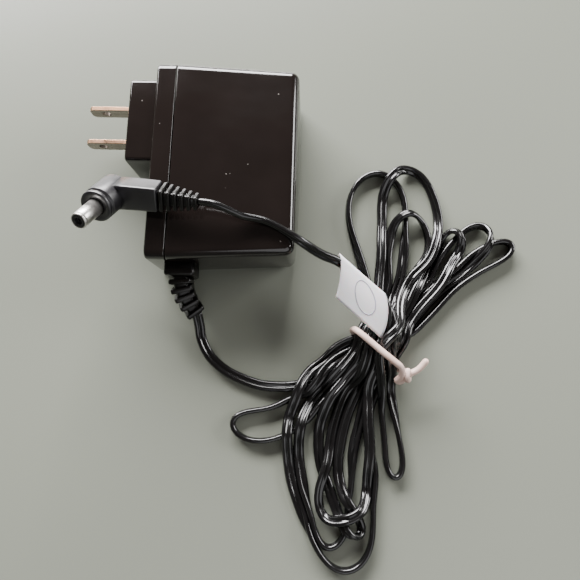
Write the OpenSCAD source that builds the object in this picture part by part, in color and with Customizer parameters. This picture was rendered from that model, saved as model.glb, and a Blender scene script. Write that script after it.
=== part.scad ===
// Plug-in mains adapter with a bundled output cord and a right-angle barrel plug.
// It lies on its broad side: blades toward -X, cord leaving toward -Y, +Z up.
// The origin is at the middle of the adapter's own box, on the surface it lies on.

/* [Casing] */
// Height of the casing, at the seam
case_y = 70; // [66:1:76]
// Thickness of the casing
case_z = 27.5; // [27:0.5:30]
// Depth of the front cover, from its rim to the seam
cover_x = 7; // [6:0.5:8]
// Depth of the rear shell, from the seam to the middle of its back
shell_x = 44; // [42:1:50]
// Wall thickness of both mouldings
wall = 2; // [1.6:0.1:2.2]
// Radius of the long edges
edge_r = 3; // [2.5:0.25:3.5]
// How much each side draws in toward the back
taper = 2.5; // [1:0.5:3]
// How far the back bows out in its middle
bulge = 1.6; // [0.5:0.1:2]

/* [Plug boss and blades] */
// Depth of the boss that carries the blades
boss_x = 9.5; // [9:0.5:12]
// Height of the boss
boss_y = 30; // [28:1:32]
// Thickness of the boss
boss_z = 24.5; // [23:0.5:25]
// Distance of the blades' midline above the casing's middle
blade_mid_y = 15.5; // [14:0.5:16]
// Distance of the boss's middle below the blades' midline
boss_drop = 1.5; // [0:0.5:2]
// Length of a blade in front of the boss
blade_x = 17.5; // [15.9:0.1:18.2]
// Spacing of the two blades, middle to middle
blade_gap = 12.7; // [12.7]
// Width of a blade
blade_z = 6.35; // [6.1:0.05:6.5]
// Thickness of a blade
blade_t = 1.5; // [1.4:0.02:1.6]
// Diameter of the hole in a blade
blade_hole = 3.2; // [3:0.1:3.3]
// Distance from the boss to the middle of that hole
blade_hole_x = 11.7; // [11.5:0.1:12]

/* [Barrel plug] */
// Outer diameter of the sleeve
sleeve_d = 5.5; // [5.5]
// Diameter of the socket for the centre pin
socket_d = 2.1; // [2.1, 2.5]
// Depth of that socket
socket_l = 10; // [8:0.5:11]
// Length of the sleeve in front of its collar
sleeve_l = 9.5; // [9.5:0.5:12]
// Diameter of the round elbow
elbow_d = 11.2; // [10:0.1:12]
// Distance from the elbow's middle to the front of the collar
collar_l = 10; // [8:0.1:10.5]
// Length of the moulded arm, from the elbow's middle
arm_l = 17.3; // [16:0.1:18]
// Length of the plug's ribbed strain relief
plug_relief_l = 13; // [12:0.5:17]

/* [Cord] */
// Width of the flat twin cord
cord_w = 3.8; // [3.4:0.1:4]
// Thickness of the flat twin cord
cord_t = 1.9; // [1.7:0.1:2]
// Height of the bundled cord
hank_z = 15; // [14:0.5:16]

/* [Hidden] */

// Stations along X, from the blade tips to the back
tip_x = -(blade_x + boss_x + cover_x + shell_x) / 2;
face_x = tip_x + blade_x;
rim_x = face_x + boss_x;
seam_x = rim_x + cover_x;
back_x = seam_x + shell_x;

mid_z = case_z / 2;
half_y = case_y / 2;
boss_mid_y = blade_mid_y - boss_drop;
gap = 0.05;
round_fn = 32;
ball_fn = 24;

// Circuit board and the parts on it
board_z = 5;
board_t = 1.6;
board_top = board_z + board_t;
board_x = 39;
board_y = 58;
board_at = [-6, -board_y / 2];
wire_d = 1.2;
pin_d = 0.8;

// Transformer: core outline, legs, and its place on the board
core = [20, 6, 16];
core_leg = 3;
core_foot = 1.5;
core_mid = [21, 3];
window_x = (core.x - 2 * core_leg - core.y) / 2;
bobbin_t = 0.8;
pin_rows = [-6.5, 6.5];
pin_steps = [-6, -2, 2, 6];

// Strain relief in the rear shell's slot, which opens at the seam
relief_neck = [7, wall + 0.2, 8];
relief_collar = [10.6, 4.2, 11];
relief_ribs = 5;
relief_x = seam_x + relief_neck.x / 2;

// Barrel plug: the elbow's middle, and how the plug is turned as it rests on the casing's edge
plug_at = [-22.9, -14, 30.4];
plug_turn = [45, -16, -6];
arm_z = 7;
arm_y = 8.6;
// The arm's end and the relief after it bend a little toward the casing
arm_end = [arm_l, -1.1, -0.9];
arm_bend = [0, 9, -11];
shoulder_d = sleeve_d + 0.7;
plug_ribs = 6;

// Routes of the cord's two loose stretches
case_route = [[3.4, -50.6, 7.4], [4.2, -55, 4.4], [5, -60, 2.4], [8, -65.5, 2], [12.5, -69.5, 2],
    [17.6, -72.4, 2], [26.3, -75.2, 2], [34.9, -75.6, 2], [42, -74.6, 2.4], [48, -71.5, 3]];
plug_route = [[6.8, -17.55, 34.3], [11.6, -18.1, 34.2], [16.8, -19.7, 32.6], [20.8, -21, 30.8],
    [25, -21.5, 29.9], [29, -22.4, 29.5], [34, -24.8, 29], [39.5, -28, 28.3], [46.4, -31.2, 23],
    [53, -33, 18.5], [58.5, -36.3, 16], [62, -38.8, 14.6]];

// Outline of the bundle, counter-clockwise from the plug lead, and the tie around its waist
hank_outline = [[51, -30], [51, -8], [65, 6], [79, 7], [92, -3], [96, -15], [107, -13], [119, -22],
    [118, -32], [100, -46], [76.5, -60.5], [78, -70], [78, -106], [70, -132], [60, -138], [50, -138],
    [40, -127], [34, -106], [34, -98], [24, -97], [14, -90], [14, -82], [36, -76.5], [50, -62],
    [58.5, -54]];
hank_corner = 2;
waist_at = [67.3, -60.2];
waist_turn = -34.4;
waist = [15, 11];
tie_d = 2.2;
tag_outline = [[53.5, -31], [69, -42], [70, -49], [68, -58], [52, -44.5], [53.8, -42]];
tag_t = 0.4;
tag_z = 16.5;

function unit(v) = v / norm(v);
function curve_point(p0, p1, p2, p3, t) =
    0.5 * (2 * p1 + (p2 - p0) * t + (2 * p0 - 5 * p1 + 4 * p2 - p3) * t * t
        + (3 * p1 - p0 - 3 * p2 + p3) * t * t * t);
function before(route, i) = i == 0 ? 2 * route[0] - route[1] : route[i - 1];
function after(route, i) = let (n = len(route))
    i + 2 > n - 1 ? 2 * route[n - 1] - route[n - 2] : route[i + 2];
// A smooth run of points through the route, with a fixed number of steps in each stretch
function smooth_route(route, steps) = concat(
    [for (i = [0 : len(route) - 2]) for (s = [0 : steps - 1])
        curve_point(before(route, i), route[i], route[i + 1], after(route, i), s / steps)],
    [route[len(route) - 1]]);

// A flat cord swept along a route: its width stays level, its thickness follows the slope
module swept_cord(route, steps) {
    sides = 8;
    path = smooth_route(route, steps);
    last = len(path) - 1;
    rings = [for (i = [0 : last])
        let (ahead = unit(path[min(i + 1, last)] - path[max(i - 1, 0)]),
            across = unit([-ahead.y, ahead.x, 0]),
            upward = cross(ahead, across))
        for (k = [0 : sides - 1])
            let (angle = 360 * k / sides)
                path[i] + across * (cord_w / 2 * cos(angle)) + upward * (cord_t / 2 * sin(angle))];
    walls = [for (i = [0 : last - 1]) for (k = [0 : sides - 1])
        let (a = i * sides + k, b = i * sides + (k + 1) % sides)
        each [[a, b + sides, b], [a, a + sides, b + sides]]];
    caps = [[for (k = [0 : sides - 1]) k], [for (k = [sides - 1 : -1 : 0]) last * sides + k]];
    polyhedron(points = rings, faces = concat(walls, caps), convexity = 6);
}

// A round rod along X, between two stations
module rod_x(r, from, to) {
    translate([from, 0, 0]) rotate([0, 90, 0]) cylinder(r = r, h = to - from, $fn = round_fn);
}

// Rear shell's outer form: square at the seam, rounded and bowed at the back
module shell_form() {
    tall = half_y - edge_r;
    hull() for (z = [edge_r, case_z - edge_r]) {
        for (y = [-tall, tall]) translate([0, y, z]) rod_x(edge_r, seam_x, seam_x + 0.5);
        for (t = [-1 : 0.5 : 1])
            translate([back_x - edge_r - bulge * t * t, t * (tall - taper), z])
                sphere(r = edge_r, $fn = ball_fn);
    }
}
// The room inside it
module shell_room() {
    r = edge_r - wall;
    tall = half_y - edge_r;
    hull() for (y = [-1, 1], z = [edge_r, case_z - edge_r]) {
        translate([0, y * tall, z]) rod_x(r, seam_x - 0.5, seam_x);
        translate([0, y * (tall - taper), z]) rod_x(r, seam_x, back_x - wall - bulge - 0.5);
    }
}

// A block with rounded long edges along X
module rounded_block(size, r) {
    hull() for (y = [-1, 1], z = [-1, 1])
        translate([0, y * (size.y / 2 - r), z * (size.z / 2 - r)]) rod_x(r, 0, size.x);
}

module blade_slots() {
    slot = [wall + 3, blade_t + 2 * gap, blade_z + 2 * gap];
    for (side = [-1, 1])
        translate([face_x - 1, blade_mid_y + side * blade_gap / 2 - slot.y / 2, mid_z - slot.z / 2])
            cube(slot);
}

module front_cover() {
    rim_bevel = 1;
    color("#1d1815") difference() {
        union() {
            hull() {
                translate([rim_x + rim_bevel, 0, mid_z])
                    rounded_block([cover_x - rim_bevel, case_y, case_z], edge_r);
                translate([rim_x, 0, mid_z])
                    rounded_block([rim_bevel, case_y - 2 * rim_bevel, case_z - 2 * rim_bevel],
                        edge_r - rim_bevel);
            }
            translate([face_x, boss_mid_y, mid_z]) rounded_block([boss_x + 1, boss_y, boss_z], 1.5);
        }
        translate([rim_x + wall, 0, mid_z])
            rounded_block([cover_x, case_y - 2 * wall, case_z - 2 * wall], edge_r - wall);
        translate([face_x + wall, boss_mid_y, mid_z])
            rounded_block([boss_x + wall, boss_y - 2 * wall, boss_z - 2 * wall], 1);
        blade_slots();
    }
}

module rear_shell() {
    slot = relief_neck + [0, 6, 0] + 2 * gap * [0, 0, 1];
    color("#1b1614") {
        difference() {
            shell_form();
            shell_room();
            translate([seam_x - 1, -half_y - 3, mid_z - slot.z / 2])
                cube([slot.x + 1 + gap, slot.y, slot.z]);
        }
        // Posts that the circuit board sits on
        for (x = [board_at.x + 4, board_at.x + board_x - 5], y = [-24, 24])
            translate([x, y, wall / 2]) cylinder(d = 4, h = board_z - wall / 2, $fn = round_fn);
    }
}

// One blade, drawn about its own middle with the boss's face at x = 0
module blade() {
    tab_x = wall + 3.5;
    nose = 1.2;
    difference() {
        rotate([90, 0, 0]) translate([0, 0, -blade_t / 2]) linear_extrude(blade_t) polygon([
            [-blade_x + nose, -blade_z / 2], [0, -blade_z / 2], [tab_x, -blade_z / 2],
            [tab_x, blade_z / 2], [0, blade_z / 2], [-blade_x + nose, blade_z / 2],
            [-blade_x, blade_z / 2 - nose], [-blade_x, -blade_z / 2 + nose]]);
        translate([-blade_hole_x, 0, 0]) rotate([90, 0, 0])
            cylinder(d = blade_hole, h = 2 * blade_t, center = true, $fn = 48);
    }
}
module line_blade() {
    color("#b9a48c") translate([face_x, blade_mid_y + blade_gap / 2, mid_z]) blade();
}
module neutral_blade() {
    color("#b9a48c") translate([face_x, blade_mid_y - blade_gap / 2, mid_z]) blade();
}

// Inner plate that locks both blades in the boss
module blade_retainer() {
    plate = [2, boss_y - 2 * wall - 1, boss_z - 2 * wall - 1];
    color("#d8d2c0") difference() {
        translate([face_x + wall + 0.1, boss_mid_y - plate.y / 2, mid_z - plate.z / 2]) cube(plate);
        translate([wall, 0, 0]) blade_slots();
    }
}

module mains_leads() {
    color("#a03028") for (side = [-1, 1]) {
        start = [face_x + wall + 3.6 + wire_d / 2, blade_mid_y + side * blade_gap / 2, mid_z];
        drop = board_top + wire_d / 2 - mid_z;
        translate(start) {
            rod_x(wire_d / 2, -wire_d / 2, -4 - start.x);
            translate([-4 - start.x - wire_d / 2, 0, drop - wire_d / 2])
                cylinder(d = wire_d, h = -drop + wire_d / 2, $fn = round_fn);
        }
    }
}

module circuit_board() {
    color("#3f6b3a") difference() {
        translate([board_at.x, board_at.y, board_z]) cube([board_x, board_y, board_t]);
        for (x = pin_steps, y = pin_rows)
            translate([core_mid.x + x, core_mid.y + y, board_z - 1])
                cylinder(d = pin_d + 0.2, h = 4, $fn = 24);
    }
}

// An axial part lying along X on bent legs
module axial_part(at, d, l, leg_d) {
    lift = board_top + d / 2 + 0.3;
    translate([at.x, at.y, lift]) {
        rod_x(d / 2, -l / 2, l / 2);
        for (side = [-1, 1]) {
            rod_x(leg_d / 2, side < 0 ? -l / 2 - 1.5 : l / 2, side < 0 ? -l / 2 : l / 2 + 1.5);
            translate([side * (l / 2 + 1.5), 0, board_top - lift])
                cylinder(d = leg_d, h = lift - board_top, $fn = 24);
        }
    }
}
module fuse() { color("#b8a070") axial_part([2, 14], 4, 8, 0.7); }
module output_diode() { color("#2a2a2c") axial_part([3, -19], 5, 9, 1); }

module input_choke_core() {
    color("#4a4a4c") translate([2, 1, board_top]) rotate_extrude($fn = 48) polygon([
        [0, 0], [4.5, 0], [4.5, 1.5], [2, 1.5], [2, 9.5], [4.5, 9.5], [4.5, 11], [0, 11]]);
}
module input_choke_winding() {
    color("#9c5a2c") translate([2, 1, board_top + 1.6]) difference() {
        cylinder(d = 8, h = 7.8, $fn = 48);
        translate([0, 0, -1]) cylinder(d = 4.1, h = 10, $fn = 48);
    }
}
module bridge_rectifier() {
    color("#232325") translate([-3.2, -9, board_top]) cube([6, 8, 3]);
}

// A can capacitor, standing, with a rounded rim and a crimp near its foot
module can_capacitor(d, h) {
    r = d / 2;
    rotate_extrude($fn = 48) polygon([[0, 0], [r, 0], [r, 1], [r - 0.4, 1.5], [r, 2],
        [r, h - 0.5], [r - 0.5, h], [0, h]]);
}
module input_capacitor() {
    d = 12.5;
    color("#26355c") translate([8, 22, board_top + d / 2]) rotate([0, 90, 0]) can_capacitor(d, 20);
}
module output_capacitors() {
    color("#1f4a3c") for (y = [-14, -23.5]) translate([27, y, board_top]) can_capacitor(8, 14);
}
module switch_transistor() {
    color("#232325") translate([30.4, 17.5, board_top + 3]) {
        cube([4.4 - gap - 2, 10, 9]);
        for (y = [2.46, 5, 7.54]) translate([1, y, -3]) cylinder(d = 0.8, h = 3, $fn = 24);
    }
}
module heat_sink() {
    color("#b9bcc0") translate([28.8, 16, board_top]) cube([1.6, 13, 16]);
}

module transformer_core() {
    color("#3a3a3e") translate([core_mid.x - core.x / 2, core_mid.y - core.y / 2, board_top + core_foot])
        difference() {
            cube(core);
            for (x = [core_leg, core_leg + window_x + core.y])
                translate([x, -1, core_leg]) cube([window_x, core.y + 2, core.z - 2 * core_leg]);
        }
}

// A square ring around the transformer's centre leg
module leg_ring(inner, outer, from, h) {
    translate([core_mid.x, core_mid.y, from]) linear_extrude(h) difference() {
        square(outer, center = true);
        square(inner, center = true);
    }
}
module transformer_bobbin() {
    low = board_top + core_foot + core_leg;
    tall = core.z - 2 * core_leg;
    color("#20211f") {
        leg_ring(core.y + 2 * gap, core.y + 2 * bobbin_t, low + gap, tall - 2 * gap);
        for (z = [low + gap, low + tall - gap - bobbin_t])
            leg_ring(core.y + 2 * gap, core.y + 2 * window_x - 0.2, z, bobbin_t);
        for (side = [-1, 1])
            translate([core_mid.x - 8, core_mid.y + side * 6.5 - 1.5, board_top]) {
                cube([16, 3, core_foot]);
                translate([1.5, side < 0 ? 1 : 0, core_foot]) cube([13, 2, core_leg + 0.4]);
            }
    }
}
// The winding stands between the bobbin's flanges, with the tape round it
winding_low = board_top + core_foot + core_leg + bobbin_t + 0.1 + gap;
winding_h = core.z - 2 * core_leg - 2 * bobbin_t - 0.3 - gap;
winding_out = core.y + 2 * window_x - 1.4;
module transformer_winding() {
    color("#a8642e") leg_ring(core.y + 2 * bobbin_t + 0.1, winding_out, winding_low, winding_h);
}
module transformer_tape() {
    color("#e0c84a") leg_ring(winding_out + 0.1, winding_out + 0.9, winding_low, winding_h);
}
module transformer_pins() {
    color("#c8c8c4") for (x = pin_steps, y = pin_rows)
        translate([core_mid.x + x, core_mid.y + y, board_z - 1.5])
            cylinder(d = pin_d, h = board_t + 1.5, $fn = 24);
}

module optocoupler() {
    color("#e8e6df") translate([6, -11, board_top + 0.5]) {
        cube([4.6, 6.5, 3.5]);
        for (x = [0.8, 3.3], y = [-0.6, 6.5]) translate([x, y, -0.5]) cube([0.5, 0.6, 2]);
    }
}
module safety_capacitor() {
    color("#3b6fb0") translate([12, -13.5, board_top + 5.5]) {
        rotate([90, 0, 0]) cylinder(d = 9, h = 3.5, center = true, $fn = 48);
        for (x = [-2.5, 2.5]) translate([x, 0, -5.5]) cylinder(d = 0.7, h = 3, $fn = 24);
    }
}
module output_choke() {
    color("#4a4a4c") translate([16, -22.5, board_top]) rotate_extrude($fn = 48) polygon([
        [0, 0], [4, 0], [4, 1.2], [3.2, 1.6], [3.2, 7.4], [4, 7.8], [4, 9], [0, 9]]);
}
module reference_ic() {
    color("#232325") translate([20, -14.5, board_top + 2]) {
        intersection() {
            cylinder(d = 4.8, h = 4.6, $fn = 48);
            translate([-3, -1.4, 0]) cube([6, 5, 5]);
        }
        for (x = [-1.27, 0, 1.27]) translate([x, 0, -2]) cylinder(d = 0.5, h = 2, $fn = 24);
    }
}

// The cord's two conductors, from the strain relief down to the board
module output_leads() {
    top = mid_z;
    inner_y = -half_y + wall + 2.4;
    color("#c9c9c6") for (x = [-1, 1]) translate([relief_x + x, inner_y, top]) {
        translate([0, 4, 0]) rotate([90, 0, 0]) cylinder(d = wire_d, h = 4, $fn = 24);
        translate([0, 4, 0]) sphere(d = wire_d, $fn = 24);
        translate([0, 4, board_top - top]) cylinder(d = wire_d, h = top - board_top, $fn = 24);
    }
}

// Ribs of the strain relief follow the cord as it droops and swings toward +X
relief_end = [4.9, -11.6, -6.2];
relief_swing = [48, 0, 36];
function relief_point(s) = [relief_x + relief_end.x * s * s,
    -half_y - relief_collar.y + relief_end.y * s, mid_z + relief_end.z * s * s];
module relief_slice(s, width, thick) {
    translate(relief_point(s)) rotate(relief_swing * s) cube([width, thick, width], center = true);
}
module strain_relief() {
    inner = [10, 2, 10.5];
    core_w = 5.4;
    rib_w = 8;
    step = 0.2;
    color("#17130f") {
        translate([relief_x - relief_neck.x / 2, -half_y - gap, mid_z - relief_neck.z / 2])
            cube(relief_neck + [0, gap, 0]);
        translate([relief_x - relief_collar.x / 2, -half_y - relief_collar.y, mid_z - relief_collar.z / 2])
            cube(relief_collar - [0, gap, 0]);
        translate([seam_x + 0.1, -half_y + wall + 0.2, mid_z - inner.z / 2]) cube(inner);
        for (i = [0 : relief_ribs - 1]) hull() {
            relief_slice(i / relief_ribs, core_w - step * i, 0.6);
            relief_slice((i + 1) / relief_ribs, core_w - step * (i + 1), 0.6);
        }
        for (i = [1 : relief_ribs])
            relief_slice((i - 0.2) / relief_ribs, rib_w - step * i, 1.7);
    }
}

module cord_from_case() { color("#100e0d") swept_cord(case_route, 3); }
module cord_to_plug() { color("#100e0d") swept_cord(plug_route, 3); }

// Everything inside the tie's loop, as wide as the given margin on each side
module waist_space(margin, h) {
    translate([waist_at.x, waist_at.y, tie_d / 2 + 0.5 + waist.y / 2]) rotate([0, 0, waist_turn])
        cube([waist.x + 2 * margin, h, waist.y + 2 * margin], center = true);
}
module cord_hank() {
    color("#141211") difference() {
        linear_extrude(hank_z) offset(r = hank_corner) offset(delta = -hank_corner) polygon(hank_outline);
        difference() {
            waist_space(8, 5);
            waist_space(-0.1, 6);
        }
    }
}
module twist_tie() {
    color("#e9c9bd") {
        difference() {
            waist_space(tie_d / 2 + 0.4, tie_d);
            waist_space(0, 4);
        }
        // The twist, and the tail that stands out of it
        twist = [2.6, 7, 2.2];
        tail = [1.8, 10, 1.8];
        translate([waist_at.x, waist_at.y, waist.y]) rotate([0, 0, waist_turn])
            translate([waist.x / 2 + 1.2, 0, 0]) {
                rotate([0, 0, -20]) translate([-twist.x / 2, 1 - twist.y, -twist.z / 2]) cube(twist);
                rotate([0, 0, -34]) translate([-tail.x / 2, 0, -tail.z / 2]) cube(tail);
            }
    }
}
module cord_tag() {
    color("#efe4e6") translate([0, 0, tag_z]) linear_extrude(tag_t) polygon(tag_outline);
}

// The plug's own axes: +X along the cord's arm, +Z along the barrel
module at_plug() { translate(plug_at) rotate(plug_turn) children(); }

module plug_body() {
    rim = 1.4;
    groove = 1;
    color("#17151a") at_plug() difference() {
        union() {
            hull() {
                translate([0, 0, -arm_z / 2]) cylinder(d = elbow_d, h = arm_z, $fn = 48);
                translate(arm_end) rotate(arm_bend) translate([-2, 0, 0])
                    rounded_block([2, arm_y, arm_z], 1);
            }
            cylinder(d = elbow_d, h = collar_l - rim - groove, $fn = 64);
            cylinder(d = elbow_d - 2, h = collar_l - rim, $fn = 64);
            translate([0, 0, collar_l - rim]) cylinder(d = elbow_d - 0.2, h = rim, $fn = 64);
        }
        translate([0, 0, 1]) cylinder(d = shoulder_d + 2 * gap, h = collar_l, $fn = 64);
    }
}
module plug_relief() {
    step = plug_relief_l / plug_ribs;
    color("#121012") at_plug() translate(arm_end) rotate(arm_bend) translate([gap, 0, 0]) {
        rotate([0, 90, 0]) cylinder(d1 = 6, d2 = 4.4, h = plug_relief_l - gap, $fn = 32);
        for (i = [0 : plug_ribs - 1])
            translate([(i + 0.5) * step - 0.1, 0, 0])
                rounded_block([step * 0.55, 7.8 - 0.6 * i, 7 - 0.55 * i], 1.2);
    }
}
module plug_sleeve() {
    color("#c9c9cc") at_plug() difference() {
        union() {
            translate([0, 0, collar_l]) cylinder(d = sleeve_d, h = sleeve_l, $fn = 64);
            translate([0, 0, 1.1]) cylinder(d = shoulder_d, h = collar_l - 1.1, $fn = 64);
        }
        cylinder(d = sleeve_d - 0.9, h = collar_l + sleeve_l + 1, $fn = 64);
    }
}
module plug_insulator() {
    color("#0f0e0e") at_plug() difference() {
        translate([0, 0, 1.2]) cylinder(d = sleeve_d - 1, h = collar_l + sleeve_l - 1.5, $fn = 64);
        cylinder(d = socket_d + 1, h = collar_l + sleeve_l - 1.3, $fn = 48);
        cylinder(d = socket_d + 0.4, h = collar_l + sleeve_l + 1, $fn = 48);
    }
}
module plug_contact() {
    color("#d8b878") at_plug() difference() {
        translate([0, 0, 1.3]) cylinder(d = socket_d + 0.9, h = collar_l + sleeve_l - 2.7, $fn = 48);
        translate([0, 0, collar_l + sleeve_l - 1.4 - socket_l])
            cylinder(d = socket_d, h = socket_l + 1, $fn = 48);
    }
}

front_cover();
rear_shell();
line_blade();
neutral_blade();
blade_retainer();
mains_leads();
circuit_board();
fuse();
input_choke_core();
input_choke_winding();
bridge_rectifier();
input_capacitor();
switch_transistor();
heat_sink();
transformer_core();
transformer_bobbin();
transformer_winding();
transformer_tape();
transformer_pins();
optocoupler();
safety_capacitor();
output_diode();
output_capacitors();
output_choke();
reference_ic();
output_leads();
strain_relief();
cord_from_case();
cord_hank();
cord_to_plug();
twist_tie();
cord_tag();
plug_body();
plug_relief();
plug_sleeve();
plug_insulator();
plug_contact();
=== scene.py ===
"""Looks of a plug-in mains adapter with its bundled output cord and right-angle barrel plug.

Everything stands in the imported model's frame, in metres: the casing lies on its broad side,
blades toward -X, cord toward -Y, +Z up. Lengths below are in millimetres and are turned into
metres where meshes are made.
"""
import math

import bmesh
import bpy
import numpy as np
from mathutils import Matrix, Vector


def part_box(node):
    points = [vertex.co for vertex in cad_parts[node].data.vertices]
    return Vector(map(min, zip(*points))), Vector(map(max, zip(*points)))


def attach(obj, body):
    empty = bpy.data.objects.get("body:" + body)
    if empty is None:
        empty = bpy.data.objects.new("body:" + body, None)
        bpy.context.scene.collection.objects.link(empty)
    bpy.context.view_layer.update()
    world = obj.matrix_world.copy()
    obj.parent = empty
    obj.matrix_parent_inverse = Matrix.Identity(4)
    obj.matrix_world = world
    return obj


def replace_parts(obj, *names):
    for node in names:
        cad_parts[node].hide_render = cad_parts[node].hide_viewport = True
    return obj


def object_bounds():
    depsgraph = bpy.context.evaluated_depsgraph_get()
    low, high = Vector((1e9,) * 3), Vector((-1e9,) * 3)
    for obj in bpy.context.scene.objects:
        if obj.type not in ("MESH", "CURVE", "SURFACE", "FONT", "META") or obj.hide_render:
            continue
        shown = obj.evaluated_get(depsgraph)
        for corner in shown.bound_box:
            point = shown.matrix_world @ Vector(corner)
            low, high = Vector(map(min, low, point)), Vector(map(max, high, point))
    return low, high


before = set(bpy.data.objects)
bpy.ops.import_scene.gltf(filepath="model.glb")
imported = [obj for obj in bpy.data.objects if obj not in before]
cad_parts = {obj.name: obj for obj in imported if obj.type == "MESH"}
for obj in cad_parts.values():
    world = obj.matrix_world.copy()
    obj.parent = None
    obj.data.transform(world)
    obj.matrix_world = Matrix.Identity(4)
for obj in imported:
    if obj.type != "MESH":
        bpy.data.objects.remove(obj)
cad_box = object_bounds()
MM = 0.001
BODY = "root"


# ---------------------------------------------------------------- small tools

def node_box(node):
    """Lowest and highest corner of a CAD node, in millimetres."""
    low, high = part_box(node)
    return np.array(low) / MM, np.array(high) / MM


def unit(v):
    v = np.asarray(v, float)
    return v / np.linalg.norm(v)


def add_mesh(name, verts_mm, faces, material, slot):
    """A new piece on the body, from points in millimetres."""
    mesh = bpy.data.meshes.new(name)
    mesh.from_pydata([tuple(Vector(v) * MM) for v in verts_mm], [], faces)
    work = bmesh.new()
    work.from_mesh(mesh)
    bmesh.ops.recalc_face_normals(work, faces=work.faces)
    work.to_mesh(mesh)
    work.free()
    mesh.shade_smooth()
    piece = bpy.data.objects.new(name, mesh)
    bpy.context.scene.collection.objects.link(piece)
    piece.data.materials.append(material)
    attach(piece, BODY)
    return piece


def soften(piece, width_mm, segments=3, angle_deg=35):
    """Rounds the sharp edges of a piece and keeps its flat faces flat."""
    bevel = piece.modifiers.new("bevel", "BEVEL")
    bevel.width = width_mm * MM
    bevel.segments = segments
    bevel.limit_method = "ANGLE"
    bevel.angle_limit = math.radians(angle_deg)
    bevel.harden_normals = True
    return piece


def join_parts(parts):
    """One list of points and one of faces from several."""
    verts, faces = [], []
    for part_verts, part_faces in parts:
        shift = len(verts)
        verts += [tuple(v) for v in part_verts]
        faces += [tuple(i + shift for i in face) for face in part_faces]
    return verts, faces


def loft(rings, start_cap=True, end_cap=True):
    """Skins closed rings that all have the same number of points."""
    count = len(rings[0])
    verts = [tuple(p) for ring in rings for p in ring]
    faces = [(r * count + k, r * count + (k + 1) % count,
              (r + 1) * count + (k + 1) % count, (r + 1) * count + k)
             for r in range(len(rings) - 1) for k in range(count)]
    if start_cap:
        faces.append(tuple(range(count - 1, -1, -1)))
    if end_cap:
        last = (len(rings) - 1) * count
        faces.append(tuple(range(last, last + count)))
    return verts, faces


def rounded_rect(width, height, radius, steps=6):
    """Outline of a rounded rectangle round the origin, counter-clockwise."""
    points = []
    for quarter, (sx, sy) in enumerate(((1, 1), (-1, 1), (-1, -1), (1, -1))):
        centre = np.array((sx * (width / 2 - radius), sy * (height / 2 - radius)))
        for k in range(steps + 1):
            a = math.radians(90 * quarter + 90 * k / steps)
            points.append(centre + radius * np.array((math.cos(a), math.sin(a))))
    return points


def lathe(profile, steps=64):
    """Turns (radius, height) points about local Z. The first and last radius may be zero."""
    verts, faces, rows = [], [], []
    for radius, height in profile:
        if radius < 1e-6:
            rows.append([len(verts)])
            verts.append((0, 0, height))
        else:
            rows.append(list(range(len(verts), len(verts) + steps)))
            verts += [(radius * math.cos(2 * math.pi * k / steps),
                       radius * math.sin(2 * math.pi * k / steps), height) for k in range(steps)]
    for low, high in zip(rows, rows[1:]):
        for k in range(steps):
            n = (k + 1) % steps
            if len(low) == 1:
                faces.append((low[0], high[n], high[k]))
            elif len(high) == 1:
                faces.append((low[k], low[n], high[0]))
            else:
                faces.append((low[k], low[n], high[n], high[k]))
    return verts, faces


def placed(part, place):
    """A part moved to a place: its X, Y and Z axes, as rows, and its origin."""
    verts, faces = part
    axes, origin = place
    return [np.asarray(axes).T @ np.asarray(v, float) + origin for v in verts], faces


def smooth_path(points, step):
    """A Catmull-Rom run through the points, then evened out to about one step apart."""
    p = np.array(points, float)
    p = np.vstack((2 * p[0] - p[1], p, 2 * p[-1] - p[-2]))
    t = np.linspace(0, 1, 12, endpoint=False)[:, None]
    runs = []
    for a, b, c, d in zip(p, p[1:], p[2:], p[3:]):
        runs.append(0.5 * (2 * b + (c - a) * t + (2 * a - 5 * b + 4 * c - d) * t**2
                           + (3 * b - a - 3 * c + d) * t**3))
    fine = np.vstack(runs + [p[-2:-1]])
    return evened(fine, step)


def evened(points, step):
    """The same line with its points an even distance apart."""
    along = np.concatenate(([0], np.cumsum(np.linalg.norm(np.diff(points, axis=0), axis=1))))
    count = max(2, int(round(along[-1] / step)) + 1)
    at = np.linspace(0, along[-1], count)
    return np.column_stack([np.interp(at, along, points[:, k]) for k in range(3)])


def line_length(points):
    return float(np.linalg.norm(np.diff(points, axis=0), axis=1).sum())


# ---------------------------------------------------------------- materials

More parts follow.
